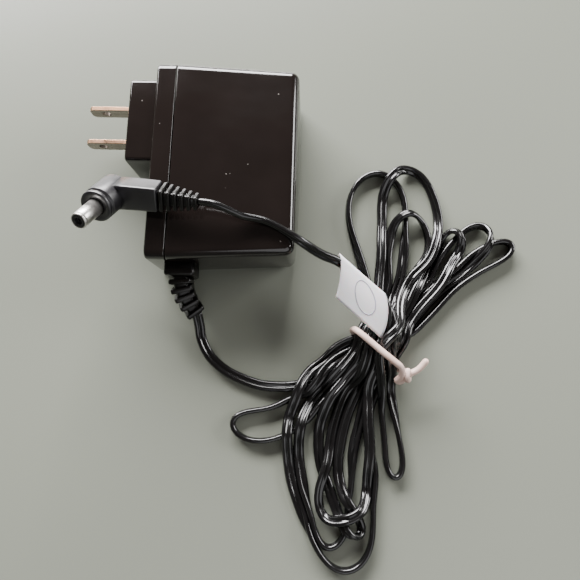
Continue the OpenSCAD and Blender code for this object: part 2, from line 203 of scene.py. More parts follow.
class Paint:
    """A node material: a shader whose colour, roughness and bump come from object-space noise."""

    def __init__(self, name, roughness=0.4, metallic=0.0, **sockets):
        self.material = bpy.data.materials.new(name)
        self.material.use_nodes = True
        self.nodes = self.material.node_tree.nodes
        self.links = self.material.node_tree.links
        self.shader = self.nodes["Principled BSDF"]
        self.shader.inputs["Roughness"].default_value = roughness
        self.shader.inputs["Metallic"].default_value = metallic
        for socket, value in sockets.items():
            self.shader.inputs[socket.replace("_", " ")].default_value = value
        self.coords = self.nodes.new("ShaderNodeTexCoord").outputs["Object"]
        self.bumped = None

    def noise(self, per_metre, detail=3.0, stretch=(1, 1, 1), turn=(0, 0, 0)):
        """Noise with about that many features in a metre."""
        place = self.nodes.new("ShaderNodeMapping")
        place.inputs["Scale"].default_value = stretch
        place.inputs["Rotation"].default_value = turn
        self.links.new(self.coords, place.inputs["Vector"])
        noise = self.nodes.new("ShaderNodeTexNoise")
        noise.inputs["Scale"].default_value = per_metre
        noise.inputs["Detail"].default_value = detail
        self.links.new(place.outputs["Vector"], noise.inputs["Vector"])
        return noise.outputs["Fac"]

    def specks(self, per_metre, size, share):
        """1 inside small round specks, in only some of the cells, and 0 elsewhere."""
        cells = self.nodes.new("ShaderNodeTexVoronoi")
        cells.inputs["Scale"].default_value = per_metre
        self.links.new(self.coords, cells.inputs["Vector"])
        dot = self.ramp(cells.outputs["Distance"], ((0, 1), (size, 0)))
        pick = self.ramp(self.split(cells.outputs["Color"]), ((1 - share, 0), (1 - share + 0.01, 1)))
        return self.maths("MULTIPLY", dot, pick)

    def split(self, colour):
        parts = self.nodes.new("ShaderNodeSeparateColor")
        self.links.new(colour, parts.inputs["Color"])
        return parts.outputs["Red"]

    def maths(self, kind, a, b):
        node = self.nodes.new("ShaderNodeMath")
        node.operation = kind
        for socket, value in zip(node.inputs, (a, b)):
            if isinstance(value, (int, float)):
                socket.default_value = value
            else:
                self.links.new(value, socket)
        return node.outputs["Value"]

    def ramp(self, value, stops):
        """Maps a value to grey levels or colours at the given stops."""
        node = self.nodes.new("ShaderNodeValToRGB")
        elements = node.color_ramp.elements
        while len(elements) < len(stops):
            elements.new(0.5)
        for element, (at, colour) in zip(elements, stops):
            element.position = at
            element.color = (*((colour,) * 3 if isinstance(colour, (int, float)) else colour), 1)
        self.links.new(value, node.inputs["Fac"])
        return node.outputs["Color"]

    def mix(self, factor, a, b):
        node = self.nodes.new("ShaderNodeMix")
        node.data_type = "RGBA"
        self.links.new(factor, node.inputs["Factor"])
        for socket, value in ((node.inputs["A"], a), (node.inputs["B"], b)):
            if isinstance(value, tuple):
                socket.default_value = (*value, 1)
            else:
                self.links.new(value, socket)
        return node.outputs["Result"]

    def colour(self, value):
        self.links.new(value, self.shader.inputs["Base Color"])
        return self

    def rough(self, value, low, high):
        self.links.new(self.ramp(value, ((0.3, low), (0.7, high))), self.shader.inputs["Roughness"])
        return self

    def bump(self, height, strength, depth_mm):
        node = self.nodes.new("ShaderNodeBump")
        node.inputs["Strength"].default_value = strength
        node.inputs["Distance"].default_value = depth_mm * MM
        self.links.new(height, node.inputs["Height"])
        if self.bumped is not None:
            self.links.new(self.bumped, node.inputs["Normal"])
        self.bumped = node.outputs["Normal"]
        self.links.new(self.bumped, self.shader.inputs["Normal"])
        return self


def mottled(name, dark, light, per_metre, roughness, metallic=0.0, bump_mm=0.02, **sockets):
    """A plain moulded or metal finish: two near shades, uneven gloss and a fine grain."""
    paint = Paint(name, metallic=metallic, **sockets)
    paint.colour(paint.ramp(paint.noise(per_metre), ((0.35, dark), (0.65, light))))
    paint.rough(paint.noise(per_metre * 1.7), *roughness)
    paint.bump(paint.noise(per_metre * 6, 2.0), 0.25, bump_mm)
    return paint.material


def casing_material():
    """Glossy near-black ABS with a warm cast, hairline scratches and settled dust."""
    paint = Paint("casing_abs", Specular_IOR_Level=0.6, IOR=1.5, Coat_Weight=0.3, Coat_Roughness=0.04)
    shade = paint.ramp(paint.noise(60, 4),
                       ((0.35, (0.0085, 0.006, 0.0053)), (0.7, (0.0105, 0.0075, 0.0066))))
    dust = paint.maths("ADD", paint.specks(420, 0.13, 0.05), paint.specks(190, 0.07, 0.05))
    paint.colour(paint.mix(dust, shade, (0.42, 0.39, 0.36)))
    smear = paint.noise(26, 5, stretch=(1, 2.2, 1), turn=(0, 0, 0.6))
    paint.rough(smear, 0.07, 0.17)
    scratches = paint.noise(900, 1, stretch=(1, 0.03, 1), turn=(0, 0, 0.9))
    paint.bump(scratches, 0.08, 0.01)
    paint.bump(paint.noise(35, 2), 0.12, 0.05)
    return paint.material


def cord_material():
    """Glossy black PVC with faint handling marks."""
    paint = Paint("cord_pvc", IOR=1.5, Coat_Weight=0.5, Coat_Roughness=0.06)
    paint.colour(paint.ramp(paint.noise(180, 3),
                            ((0.35, (0.0035, 0.0033, 0.0035)), (0.7, (0.007, 0.0065, 0.0068)))))
    paint.rough(paint.noise(240, 3), 0.16, 0.28)
    paint.bump(paint.noise(700, 2), 0.12, 0.04)
    return paint.material


def moulding_material():
    """Satin black overmoulding of the plug, with a fine matt grain."""
    paint = Paint("plug_pvc", IOR=1.55, Specular_IOR_Level=1.0)
    paint.colour(paint.ramp(paint.noise(220, 3),
                            ((0.35, (0.007, 0.006, 0.008)), (0.7, (0.011, 0.0095, 0.0125)))))
    paint.rough(paint.noise(300, 3), 0.3, 0.38)
    paint.bump(paint.noise(4200, 2), 0.2, 0.02)
    return paint.material


def relief_material():
    """The softer black rubbery plastic of the casing's strain relief."""
    paint = Paint("relief_pvc", IOR=1.48)
    paint.colour(paint.ramp(paint.noise(200, 3),
                            ((0.35, (0.004, 0.0034, 0.003)), (0.7, (0.008, 0.0068, 0.006)))))
    paint.rough(paint.noise(260, 3), 0.24, 0.38)
    paint.bump(paint.noise(2500, 2), 0.2, 0.03)
    return paint.material


def brushed_metal(name, dark, light, roughness, stretch):
    """Drawn or turned metal: streaks along one direction, dull spots and a little tarnish."""
    paint = Paint(name, metallic=1.0)
    streak = paint.noise(1400, 3, stretch=stretch)
    tarnish = paint.noise(240, 4)
    paint.colour(paint.mix(paint.ramp(tarnish, ((0.5, 0.0), (0.75, 0.6))),
                           paint.ramp(streak, ((0.3, dark), (0.7, light))), dark))
    paint.rough(tarnish, *roughness)
    paint.bump(streak, 0.15, 0.01)
    return paint.material


def paper_material():
    """Thin white label paper with a faint pink cast and fibres."""
    paint = Paint("tag_paper", Subsurface_Weight=0.15, Subsurface_Scale=0.4 * MM)
    paint.colour(paint.ramp(paint.noise(70, 4), ((0.3, (0.92, 0.85, 0.89)), (0.7, (0.97, 0.93, 0.96)))))
    paint.rough(paint.noise(500, 3), 0.5, 0.68)
    paint.bump(paint.noise(2200, 4), 0.25, 0.03)
    paint.bump(paint.noise(90, 2), 0.3, 0.25)
    return paint.material


# ---------------------------------------------------------------- camera and light

def make_camera():
    """Looks down on the adapter from a little toward -Y of it."""
    data = bpy.data.cameras.new("camera")
    data.sensor_width = 36
    data.lens = 36.71
    data.shift_x, data.shift_y = 0.0167, -0.0513
    data.clip_start, data.clip_end = 0.01, 20
    camera = bpy.data.objects.new("camera", data)
    camera.location = Vector((41.8, -69.4, 216.8)) * MM
    camera.rotation_euler = [math.radians(a) for a in (10.47, 2.15, 1.99)]
    bpy.context.scene.collection.objects.link(camera)
    bpy.context.scene.camera = camera


def area_light(name, place, width, height, power, colour):
    """A soft panel at a place in metres, turned to the middle of the object."""
    data = bpy.data.lights.new(name, "AREA")
    data.shape = "RECTANGLE"
    data.size, data.size_y = width, height
    data.energy, data.color = power, colour
    light = bpy.data.objects.new(name, data)
    light.location = place
    middle = (Vector(cad_box[0]) + Vector(cad_box[1])) / 2
    light.rotation_euler = (middle - light.location).to_track_quat("-Z", "Y").to_euler()
    bpy.context.scene.collection.objects.link(light)


def make_world():
    """A pale room, dimmer overhead than at the sides."""
    world = bpy.data.worlds.new("room")
    bpy.context.scene.world = world
    world.use_nodes = True
    nodes, links = world.node_tree.nodes, world.node_tree.links
    coords = nodes.new("ShaderNodeTexCoord")
    split = nodes.new("ShaderNodeSeparateXYZ")
    ramp = nodes.new("ShaderNodeValToRGB")
    ramp.color_ramp.elements[0].position = 0.15
    ramp.color_ramp.elements[0].color = (0.13, 0.135, 0.125, 1)
    ramp.color_ramp.elements[1].position = 0.75
    ramp.color_ramp.elements[1].color = (0.095, 0.08, 0.074, 1)
    links.new(coords.outputs["Generated"], split.inputs["Vector"])
    links.new(split.outputs["Z"], ramp.inputs["Fac"])
    links.new(ramp.outputs["Color"], nodes["Background"].inputs["Color"])


def make_floor():
    """A plain pale grey-green table top, a little glossy."""
    half, below = 1.6, 0.02 * MM
    corners = [(-half, -half, 0), (half, -half, 0), (half, half, 0), (-half, half, 0)]
    mesh = bpy.data.meshes.new("floor")
    mesh.from_pydata(corners, [], [(0, 1, 2, 3)])
    floor = bpy.data.objects.new("floor", mesh)
    floor.location.z = -below
    bpy.context.scene.collection.objects.link(floor)
    paint = Paint("table_top", roughness=0.3, Specular_IOR_Level=0.5)
    paint.colour(paint.ramp(paint.noise(5, 2),
                            ((0.3, (0.222, 0.236, 0.196)), (0.7, (0.238, 0.252, 0.210)))))
    floor.data.materials.append(paint.material)


# ---------------------------------------------------------------- the cord

CORD_WIDTH = 3.8
CORE_RADIUS = 0.98
# The two loose stretches, as the frame has them: from the casing, and from the bundle to the plug
CASE_ROUTE = [(3.4, -50.6, 7.4), (4.2, -55, 4.4), (5, -60, 2.4), (8, -65.5, 2), (12.5, -69.5, 2),
              (17.6, -72.4, 2), (26.3, -75.2, 2), (34.9, -75.6, 2), (42, -74.6, 2.4), (48, -71.5, 3)]
PLUG_ROUTE = [(6.8, -17.55, 34.3), (11.6, -18.1, 34.2), (16.8, -19.7, 32.6), (20.8, -21, 30.8),
              (25, -21.5, 29.9), (29, -22.4, 29.5), (34, -24.8, 29), (39.5, -28, 28.3),
              (46.4, -31.2, 23), (53, -33, 18.5), (58.5, -36.3, 16), (62, -38.8, 14.6)]
WAIST = np.array((67.3, -60.2))
TIE_TURN = math.radians(-34.4)
TIE_DIAMETER = 2.2
# The bundle, in the order in which it is taken to be wound: the place across the waist of each
# pass, and the loop that the cord makes after it. Loops go up and down in turn, each on the last.
BUNDLE = [
    (0.5, [(80.5, -54.5), (88, -48), (95.5, -39.5), (104, -33.2), (111, -29), (115.6, -26.2),
           (117.6, -23.4), (116.4, -20.7), (112.6, -20.6), (106, -23.7), (99, -29), (91, -37), (84, -44.5),
           (76.5, -52)]),
    (-1.5, [(58.5, -63), (51, -69), (44.5, -75.5), (38, -80), (31, -83), (24.5, -84.5), (19.5, -85.5),
            (17, -88), (18.2, -91.5), (22, -93.7), (27, -94.5), (33, -93.3), (40, -90), (46.5, -84),
            (52.5, -77.5), (58, -70.5)]),
    (1.5, [(77, -53), (83, -46), (90, -39), (97, -33.5), (103, -28.5), (107, -24), (109, -19.5),
           (107.5, -15.5), (103.5, -14.8), (99.5, -17.5), (95, -22), (91, -27), (86, -34),
           (80.5, -42), (75, -50.5)]),
    (-4, [(57.5, -61), (51.5, -65), (45.5, -70), (41, -76), (38, -83), (37, -91), (37.5, -99),
          (39, -107.5), (42, -115.5), (45.5, -123.5), (49.5, -130.5), (53.5, -134.5), (58.5, -135.5),
          (63, -133), (66, -128), (67, -121.5), (67, -114), (67, -104), (66, -94), (65.5, -85),
          (67, -76), (69.5, -68)]),
    (4, [(77.5, -46), (82, -38.5), (87, -31), (90, -25), (90.9, -20.5), (92.8, -17.6), (95.8, -17.1),
         (98, -19.6), (98.3, -24.5), (95.5, -30), (91.5, -36), (85.5, -43), (78.5, -50.5)]),
    (6, [(66, -74), (63.5, -83), (61.5, -90), (60, -97), (59.5, -106), (59, -114.5), (58, -121),
         (56, -126), (52.5, -129), (49, -127), (46.2, -119.5), (43.5, -111), (41.5, -102), (41, -93),
         (43, -84.5), (47, -77.5), (52.5, -71), (59, -65)]),
    (-4.6, [(66, -53), (66, -45.5), (63.5, -35), (60.5, -25), (58, -17), (57.2, -10), (58.5, -3),
            (62.5, 2.3), (68, 4.5), (73.5, 2), (77, -3.5), (78.3, -10.5), (78, -20), (77.3, -30),
            (75.5, -39), (72.5, -47)]),
    (0.7, [(65, -70), (61.5, -75), (58.5, -81), (56, -88.5), (54.7, -96.5), (55, -104.5), (57.2, -111.5),
           (60.3, -116.7), (63.2, -120), (63.7, -123.2), (61, -124.9), (57.6, -122), (54, -114.5),
           (50.5, -106.5), (48.5, -98), (48, -90), (49.5, -82.5), (53, -75.5), (58.5, -70), (63.5, -65.5)]),
    (-2.3, [(71.8, -41), (71, -31), (71.3, -24), (73, -17.5), (76, -12.8), (79.5, -11), (83, -12.8),
            (85.7, -17), (86.8, -23), (85, -30), (80.5, -38), (75.5, -46)]),
    (2.1, [(66.5, -69.5), (65.3, -78), (65, -86.5), (65.5, -95), (66, -102.5), (65.7, -109),
           (63, -114), (58.7, -117.3), (54, -119.8), (50.5, -119), (48.7, -115), (48.7, -110),
           (50.3, -104), (52, -96.5), (54, -88), (56.5, -79), (61.5, -71)]),
    (-2.6, [(67.2, -48.5), (68.7, -39), (69.7, -30), (70.3, -21.5), (70, -14), (69.7, -7),
            (71.3, -0.5), (74.5, 4.3), (79, 6), (83.5, 4), (86.8, -0.5), (89, -6.5), (90.3, -12.5),
            (90.3, -18.5), (88, -25), (84, -31.5), (79.5, -39), (75, -47)]),
    (1.8, [(67.8, -67), (69, -76.5), (70, -86), (70.8, -93), (71.3, -98.5), (71.8, -102.5),
           (72.6, -104.8), (74.6, -105.7), (76.5, -104.7), (77.1, -102.3), (76.8, -98), (75.9, -92),
           (74.6, -85), (73, -76.5), (71.6, -67)]),
]
# The last stretch, from the waist up to the plug's lead: place and height
LAST_PASS = [(71.6, -60.5, 11), (71.8, -54, 12), (71, -48, 12.8), (68.5, -43.2, 13.6), (65.5, -40.8, 14.2)]


def bundle_route():
    """Points of the whole cord before it settles, each loop laid above the last."""
    first, lift, waist_lift, spread = 2, 1.35, 1.5, 0.85
    across = np.array((math.cos(TIE_TURN), math.sin(TIE_TURN)))
    points = list(CASE_ROUTE)
    for turn, (place, loop) in enumerate(BUNDLE):
        height = first + lift * turn
        points.append((*(WAIST + spread * place * across), height + waist_lift))
        points += [(x, y, height) for x, y in loop]
    return points + LAST_PASS + PLUG_ROUTE[::-1]


def cord_frames(path, flat_pull=0.0006, stiffness=1.5):
    """Tangent, width axis and thickness axis along the cord.

    A flat cord bends only across its thickness, so where it curves its width stands along the
    bend's own axis, and where it runs straight it lies flat. The turn between the two is smooth.
    It leaves the casing flat and meets the plug on edge.
    """
    flat_length, upright_length, blur, reach_length = 9, 20, 4.5, 10
    tangent = np.gradient(path, axis=0)
    tangent /= np.linalg.norm(tangent, axis=1)[:, None]
    side = np.column_stack((-tangent[:, 1], tangent[:, 0], np.zeros(len(path))))
    side /= np.linalg.norm(side, axis=1)[:, None]
    over = np.cross(tangent, side)
    step = np.linalg.norm(np.diff(path, axis=0), axis=1).mean()
    bend = np.gradient(tangent, axis=0) / step
    curve = (bend * side).sum(1) + 1j * (bend * over).sum(1)
    pull = -curve**2 + flat_pull
    weight = np.abs(curve)**2 + flat_pull
    flat_end, upright_end = int(flat_length / step), int(upright_length / step)
    weight[:flat_end] += 1
    pull[:flat_end] += 1
    weight[-upright_end:] += 1
    pull[-upright_end:] -= 1
    spring = stiffness / step
    count = len(path)
    system = np.diag(weight + 2 * spring).astype(complex)
    system[0, 0] -= spring
    system[-1, -1] -= spring
    rows = np.arange(count - 1)
    system[rows, rows + 1] = system[rows + 1, rows] = -spring
    angle = np.unwrap(np.angle(np.linalg.solve(system, pull))) / 2
    reach = int(reach_length / step)
    kernel = np.exp(-(np.arange(-reach, reach + 1) * step / blur) ** 2)
    angle = np.convolve(np.pad(angle, reach, mode="edge"), kernel / kernel.sum(), mode="valid")
    width = np.cos(angle)[:, None] * side + np.sin(angle)[:, None] * over
    return tangent, width, np.cross(tangent, width)


def settle(path, held, rounds):
    """Lets the laid cord sink until it rests on the table and on itself, keeping its plan."""
    half_width, half_thick = CORD_WIDTH / 2, CORE_RADIUS
    drop, plan_pull, straighten, air = 0.2, 0.12, 0.055, 0.08
    push_share, longest_push = 0.35, 0.5
    plan = path[:, :2].copy()
    free = 1 - held
    near = np.abs(np.subtract.outer(np.arange(len(path)), np.arange(len(path)))) < 5
    for turn in range(rounds):
        if turn % 20 == 0:
            _, width, thick = cord_frames(path)
        early = 1 - turn / rounds
        path[:, 2] -= drop * early**2 * free
        path[:, :2] += plan_pull * early * free[:, None] * (plan - path[:, :2])
        for _ in range(3):
            stiff = np.zeros_like(path)
            stiff[2:-2] = path[:-4] - 4 * path[1:-3] + 6 * path[2:-2] - 4 * path[3:-1] + path[4:]
            path -= straighten * free[:, None] * stiff
        gap = path[:, None, :] - path[None, :, :]
        far = np.linalg.norm(gap, axis=2)
        i, j = np.nonzero((far < 2 * half_width) & ~near)
        i, j = i[i < j], j[i < j]
        way = gap[i, j] / np.maximum(far[i, j], 1e-6)[:, None]
        need = air
        for k in (i, j):
            need = need + np.hypot(half_width * (way * width[k]).sum(1),
                                   half_thick * (way * thick[k]).sum(1))
        short = np.maximum(need - far[i, j], 0)
        push = push_share * way * short[:, None] * (0.6, 0.6, 1)
        move = np.zeros_like(path)
        np.add.at(move, i, push)
        np.add.at(move, j, -push)
        path += np.clip(move, -longest_push, longest_push) * free[:, None]
        rest = np.hypot(half_width * width[:, 2], half_thick * thick[:, 2])
        rest = rest + TIE_DIAMETER * np.exp(-((path[:, :2] - WAIST)**2).sum(1) / 60)
        path[:, 2] = np.where(free > 0, np.maximum(path[:, 2], rest), path[:, 2])
    return path


def cord_section():
    """Two round cores side by side with a web between them, as (across, up) points."""
    shift = CORD_WIDTH / 2 - CORE_RADIUS
    web = math.acos(-shift / CORE_RADIUS * 0.97)
    angles = np.linspace(-web, web, 11)
    right = [(shift + CORE_RADIUS * math.cos(a), CORE_RADIUS * math.sin(a)) for a in angles]
    return right + [(-x, -y) for x, y in right]


def make_cord(material):
    """The whole cord in one sweep, settled and then skinned."""
    spacing, fine_spacing, overlap, fade = 1.5, 0.9, 12, 16
    path = smooth_path(bundle_route(), spacing)
    case_length = line_length(smooth_path(CASE_ROUTE, spacing))
    plug_length = line_length(smooth_path(PLUG_ROUTE, spacing))
    along = np.arange(len(path)) * line_length(path) / (len(path) - 1)
    last_length = line_length(smooth_path(LAST_PASS + PLUG_ROUTE[-1:], spacing))
    ends = np.minimum(along - case_length + overlap, along[-1] - plug_length - last_length - along)
    held = 1 - np.clip(ends / fade, 0, 1)
    path = settle(path, held, 260)
    fine = smooth_path(path[::2], fine_spacing)
    _, width, thick = cord_frames(fine)
    clear = np.hypot(CORD_WIDTH / 2 * width[:, 2], CORE_RADIUS * thick[:, 2])
    fine[:, 2] = np.maximum(fine[:, 2], clear)
    section = cord_section()
    rings = [[p + a * w + b * t for a, b in section] for p, w, t in zip(fine, width, thick)]
    verts, faces = loft(rings)
    cord = add_mesh("cord", [(x, y, max(z, 0)) for x, y, z in verts], faces, material, "cord_black")
    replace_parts(cord, "cord_from_case", "cord_hank", "cord_to_plug")
    return cord, fine


def tube(path, radius, steps=16):
    """A round tube with domed ends along a path in millimetres."""
    path = np.asarray(path, float)
    tangent = np.gradient(path, axis=0)
    tangent /= np.linalg.norm(tangent, axis=1)[:, None]
    side = np.cross(tangent[0], (0.1, 0.2, 1))
    rings = []
    ends = [(0, math.sin(a), -math.cos(a)) for a in (0.35, 0.8, 1.2)]
    run = ends + [(i, 1, 0) for i in range(len(path))] + [(len(path) - 1, s, -c) for _, s, c in ends[::-1]]
    for i, share, back in run:
        side = unit(side - tangent[i] * (side @ tangent[i]))
        over = np.cross(tangent[i], side)
        centre = path[i] + tangent[i] * radius * back
        rings.append([centre + radius * share * (math.cos(a) * side + math.sin(a) * over)
                      for a in np.arange(steps) * 2 * math.pi / steps])
    return loft(rings)


def make_tie(material, cord_path):
    """The twist tie: once round the waist, its ends twisted at the right, one of them long."""
    turn = TIE_TURN - math.radians(4.5)
    middle = WAIST + (0.7, -2.2)
    across = np.array((math.cos(turn), math.sin(turn)))
    flat = cord_path[:, :2] - middle
    near = (np.abs(flat @ (-across[1], across[0])) < 2.5) & (np.linalg.norm(flat, axis=1) < 11)
    top = cord_path[near, 2].max() + CORE_RADIUS + TIE_DIAMETER / 2
    left = (flat[near] @ across).min() - CORE_RADIUS - TIE_DIAMETER / 2
    right = (flat[near] @ across).max() + CORE_RADIUS + TIE_DIAMETER / 2
    low = TIE_DIAMETER / 2 + 0.1

    def spot(u, v, z):
        return (*(middle + u * across + v * np.array((-across[1], across[0]))), z)

    tail = [spot(right + 3.7, 7.2, top - 2.8), spot(right + 3.6, 3.8, top - 3.6),
            spot(right + 2.4, 0.4, top - 4.6), spot(right + 1.9, -3, top - 5.8),
            spot(right + 0.6, -3.6, top - 5.4), spot(right + 0.6, -1.6, top - 3.2)]
    over = [spot(right - 1.6, 0.1, top - 1), spot(right - 5, 0.1, top), spot((left + right) / 2, 0, top),
            spot(left + 3.5, 0, top - 0.3), spot(left + 0.8, 0, top - 1.6), spot(left, 0, top - 4)]
    under = [spot(left, 0, low + 3), spot(left + 1.2, 0, low + 0.8), spot(left + 3.5, 0, low),
             spot(right - 3.5, 0, low), spot(right - 0.8, 0.2, low + 1), spot(right + 0.4, 0.8, low + 3.2)]
    twist = [spot(right + 2.2, 0.4, top - 6.4), spot(right + 3.2, -1.2, top - 4.4),
             spot(right + 2, -0.8, top - 2.9), spot(right + 1.2, 0.8, top - 3)]
    wire = tube(smooth_path(tail + over + under + twist, 0.4), TIE_DIAMETER / 2)
    return add_mesh("twist_tie_loop", *wire, material, "tie_plastic")


# Corners of the folded tag: both ends of its fold, then the same ends of its free edge
TAG_FOLD = [(53.2, -30.3, 20.5), (68.9, -42.4, 15.9)]
TAG_EDGE = [(52.2, -44.9, 16.5), (68.2, -58.1, 13.6)]


def tag_point(s, t):
    """A point of the tag's upper leaf: s along the fold, t from the fold to the free edge."""
    fold = (1 - s) * np.array(TAG_FOLD[0]) + s * np.array(TAG_FOLD[1])
    edge = (1 - s) * np.array(TAG_EDGE[0]) + s * np.array(TAG_EDGE[1])
    point = (1 - t) * fold + t * edge
    point[0] += 1.6 * s**2 * 4 * t * (1 - t) + 0.9 * (1 - s)**4 * 4 * t * (1 - t)
    point[2] += 0.7 * math.sin(math.pi * t) * math.sin(math.pi * (0.2 + 0.6 * s)) - 0.9 * s**6 * t
    return point


def make_tag(material, ink):
    """A paper flag folded over the plug's lead, its two leaves nearly touching, and a pen ring."""
    rows, columns, roll = 16, 24, 1.35
    across = unit(np.subtract(TAG_FOLD[1], TAG_FOLD[0]))
    rings = []
    for i in range(columns + 1):
        s = i / columns
        upper = [tag_point(s, 0.1 + 0.9 * k / rows) for k in range(rows, -1, -1)]
        out = unit(upper[-1] - upper[-2])
        down = unit(np.cross(out, across))
        down = down if down[2] < 0 else -down
        centre = upper[-1] + down * roll
        bend = [centre + roll * (math.sin(a) * out - math.cos(a) * down) for a in np.linspace(0.25, 2.9, 9)]
        lower = [p + down * (0.25 + (2 * roll - 0.25) * (1 - k / rows) ** 2.5)
                 for k, p in enumerate(upper[::-1])]
        rings.append(upper + bend + lower)
    verts = [tuple(p) for ring in rings for p in ring]
    count = len(rings[0])
    faces = [(c * count + k, c * count + k + 1, (c + 1) * count + k + 1, (c + 1) * count + k)
             for c in range(columns) for k in range(count - 1)]
    tag = add_mesh("paper_tag", verts, faces, material, "tag_paper")
    paper = tag.modifiers.new("paper", "SOLIDIFY")
    paper.thickness, paper.offset = 0.12 * MM, 0
    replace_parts(tag, "cord_tag")

    ring = []
    steps, half_line = 72, 0.17
    middle, half_s, half_t = (0.56, 0.5), 0.2, 0.33
    for k in range(steps):
        a = 2 * math.pi * k / steps
        wobble = 1 + 0.03 * math.sin(2 * a + 0.7)
        s, t = middle[0] + half_s * wobble * math.cos(a), middle[1] + half_t * wobble * math.sin(a)
        here = tag_point(s, t)
        inward = unit(tag_point(*middle) - here) * half_line
        up = np.array((0, 0, 0.13))
        ring.append([here - inward + up, here + inward + up,
                     here + inward + up * 0.6, here - inward + up * 0.6])
    verts, faces = loft(ring + ring[:1], False, False)
    pen = add_mesh("tag_ring", verts, faces, ink, "tag_paper")
    return tag, pen


# ---------------------------------------------------------------- the barrel plug

PLUG_ELBOW = np.array((-22.9, -14, 30.4))
PLUG_TURN = (45, -16, -6)
ARM = (17.3, 8.6, 7)
# How far the arm's end has bent from straight, and the turn of its end, in degrees
ARM_SHIFT = (-1.1, -0.9)
ARM_BEND = (0, 9, -11)
ELBOW_RADIUS = 5.6
COLLAR = 10
SLEEVE = (2.75, 9.5)


def plug_place(shift=(0, 0, 0)):
    """The plug's axes, +X along its arm and +Z along its barrel, as rows, and an origin."""
    rx, ry, rz = (Matrix.Rotation(math.radians(a), 3, axis) for a, axis in zip(PLUG_TURN, "XYZ"))
    turn = np.array(rz @ ry @ rx)
    return turn.T, PLUG_ELBOW + turn @ np.array(shift, float)


def make_plug_body(material):
    """Round elbow with a grooved flange and a lip, and the flat-sided arm that meets it."""
    back = -ARM[2] / 2
    r = ELBOW_RADIUS
    groove, rim = COLLAR - 2.4, COLLAR - 1.4
    barrel = lathe([(0, back), (r - 1.3, back), (r - 0.75, back + 0.12), (r - 0.3, back + 0.45),
                    (r - 0.06, back + 1), (r, back + 1.6), (r, groove - 0.3), (r - 0.06, groove - 0.12),
                    (r - 0.2, groove), (r - 1, groove + 0.02), (r - 1, rim - 0.02), (r - 0.3, rim),
                    (r - 0.14, rim + 0.12), (r - 0.1, rim + 0.3), (r - 0.1, COLLAR - 0.5),
                    (r - 0.22, COLLAR - 0.2), (r - 0.5, COLLAR - 0.04), (r - 0.8, COLLAR), (3.15, COLLAR),
                    (3.05, COLLAR - 0.1), (3.0, COLLAR - 0.8), (0, COLLAR - 0.8)], 96)
    rings = []
    arm_x, arm_y, arm_z = ARM
    root = 2 * r - 1.8
    bend_y, bend_z = (math.tan(math.radians(a)) for a in ARM_BEND[1:])
    for x, inset in ((1, 0), (arm_x * 0.4, 0), (arm_x * 0.7, 0), (arm_x - 0.6, 0),
                     (arm_x - 0.25, 0.1), (arm_x - 0.05, 0.35), (arm_x, 0.7)):
        width = root + (arm_y - root) * x / arm_x - 0.1
        outline = rounded_rect(width - 2 * inset, arm_z - 2 * inset, 0.75, 5)
        share = (x / arm_x) ** 2
        rings.append([(x - share * (y * bend_z - z * bend_y), y + share * ARM_SHIFT[0],
                       z + share * ARM_SHIFT[1]) for y, z in outline])
    body = add_mesh("plug_moulding", *placed(join_parts([barrel, loft(rings)]), plug_place()),
                    material, "plug_black")
    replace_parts(body, "plug_body")
    return body


def rib(centre, forward, up, size, thick, radius):
    """A rounded block across a cord: its rim is rounded on both faces."""
    forward = unit(forward)
    side = unit(np.cross(forward, up))
    over = np.cross(side, forward)
    rings = []
    rim = min(thick * 0.45, 0.35)
    for at, inset in ((-thick / 2, rim), (-thick / 2 + rim * 0.3, rim * 0.3), (-thick / 2 + rim, 0),
                      (thick / 2 - rim, 0), (thick / 2 - rim * 0.3, rim * 0.3), (thick / 2, rim)):
        outline = rounded_rect(size[0] - 2 * inset, size[1] - 2 * inset, radius, 4)
        rings.append([centre + forward * at + side * a + over * b for a, b in outline])
    return loft(rings)


def make_plug_relief(material):
    """Six ribs that shrink toward the cord, on a tapered core."""
    ribs, length = 6, 13
    axes, origin = plug_place((ARM[0], *ARM_SHIFT))
    droop, swing = (Matrix.Rotation(math.radians(a), 3, axis) for a, axis in zip(ARM_BEND[1:], "YZ"))
    bend = swing @ droop
    along, up = (axes.T @ np.array(bend)[:, k] for k in (0, 2))
    pitch = length / ribs
    parts = []
    core = []
    for share in np.linspace(0, 1, 7):
        outline = rounded_rect(5.4 - 1.9 * share, 4.6 - 1.8 * share, 1.1, 5)
        side = np.cross(along, up)
        core.append([origin + along * (share * length - 0.3) + side * a + up * b for a, b in outline])
    parts.append(loft(core))
    for i in range(ribs):
        size = (7.9 - 0.6 * i, 7.1 - 0.55 * i)
        parts.append(rib(origin + along * (pitch * (i + 0.62)), along, up, size, pitch * 0.6, 0.9))
    relief = add_mesh("plug_relief_ribs", *join_parts(parts), material, "relief_black")
    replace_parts(relief, "plug_relief")
    return relief


